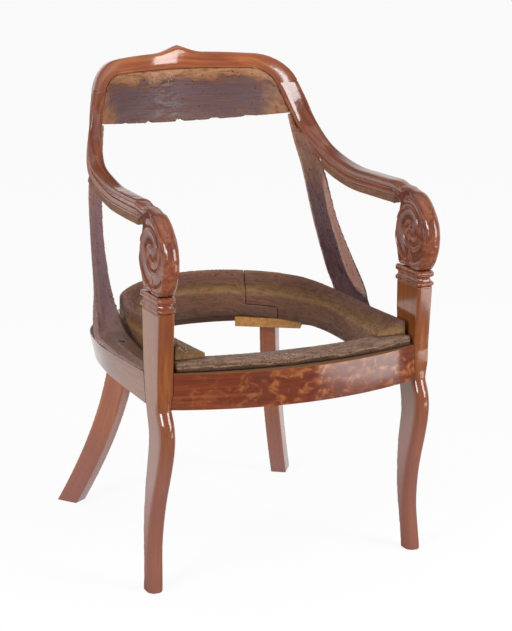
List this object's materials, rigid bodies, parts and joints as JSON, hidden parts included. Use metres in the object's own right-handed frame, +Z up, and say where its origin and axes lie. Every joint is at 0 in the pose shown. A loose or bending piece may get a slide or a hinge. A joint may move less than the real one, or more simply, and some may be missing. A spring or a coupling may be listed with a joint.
{
  "type": "open armchair",
  "caption": "Open armchair with curved crest, scroll arms, sabre rear legs and a loose seat frame, shown bare with its upholstery removed.",
  "frame": {"origin": "middle of the chair's bounding box, on the floor", "axes": "+Z up, the chair faces -Y, +X is the sitter's left and the viewer's right from the front"},
  "size_m": [0.5476, 0.6246, 0.8789],
  "materials": {
    "polished_mahogany": "shellac polished mahogany",
    "flame_veneer": "shellac polished flame mahogany veneer",
    "tacked_mahogany": "dry mahogany full of tack holes, once under upholstery",
    "secondary_wood": "raw hardwood full of tack holes, once under upholstery",
    "pale_block_wood": "raw pale softwood",
    "dowel_wood": "raw turned dowel",
    "iron_fixing": "darkened iron"
  },
  "bodies": {
    "chair_frame": {"back_rail_veneer": "polished_mahogany", "back_seat_rail": "secondary_wood", "crest_rail": "polished_mahogany", "crest_tack_panel": "tacked_mahogany", "front_rail_veneer": "flame_veneer", "front_seat_rail": "secondary_wood", "left_arm": "polished_mahogany", "left_arm_tack_strip": "secondary_wood", "left_back_rail_dowel_1": "dowel_wood", "left_back_rail_dowel_2": "dowel_wood", "left_block_screw_1": "iron_fixing", "left_block_screw_2": "iron_fixing", "left_collar": "polished_mahogany", "left_crest_dowel": "dowel_wood", "left_front_corner_block": "secondary_wood", "left_front_leg": "polished_mahogany", "left_front_rail_dowel_1": "dowel_wood", "left_front_rail_dowel_2": "dowel_wood", "left_rear_leg": "polished_mahogany", "left_scroll_dowel": "dowel_wood", "left_side_rail": "secondary_wood", "left_side_rail_front_dowel_1": "dowel_wood", "left_side_rail_front_dowel_2": "dowel_wood", "left_side_rail_rear_dowel_1": "dowel_wood", "left_side_rail_rear_dowel_2": "dowel_wood", "left_side_rail_veneer": "polished_mahogany", "left_stile": "tacked_mahogany", "left_stile_screw": "iron_fixing", "right_arm": "polished_mahogany", "right_arm_tack_strip": "secondary_wood", "right_back_rail_dowel_1": "dowel_wood", "right_back_rail_dowel_2": "dowel_wood", "right_block_screw_1": "iron_fixing", "right_block_screw_2": "iron_fixing", "right_collar": "polished_mahogany", "right_crest_dowel": "dowel_wood", "right_front_corner_block": "secondary_wood", "right_front_leg": "polished_mahogany", "right_front_rail_dowel_1": "dowel_wood", "right_front_rail_dowel_2": "dowel_wood", "right_rear_leg": "polished_mahogany", "right_scroll_dowel": "dowel_wood", "right_side_rail": "secondary_wood", "right_side_rail_front_dowel_1": "dowel_wood", "right_side_rail_front_dowel_2": "dowel_wood", "right_side_rail_rear_dowel_1": "dowel_wood", "right_side_rail_rear_dowel_2": "dowel_wood", "right_side_rail_veneer": "polished_mahogany", "right_stile": "tacked_mahogany", "right_stile_screw": "iron_fixing"},
    "seat_frame": {"seat_frame_back_left": "secondary_wood", "seat_frame_back_right": "secondary_wood", "seat_frame_front": "secondary_wood", "seat_frame_nail_1": "iron_fixing", "seat_frame_nail_2": "iron_fixing", "seat_frame_splice_block": "pale_block_wood"}
  },
  "joints": [
    {"name": "seat_frame_lift", "type": "slide", "parent": "chair_frame", "child": "seat_frame", "axis": [0, 0, 1], "range_m": [0, 0.1]}
  ]
}
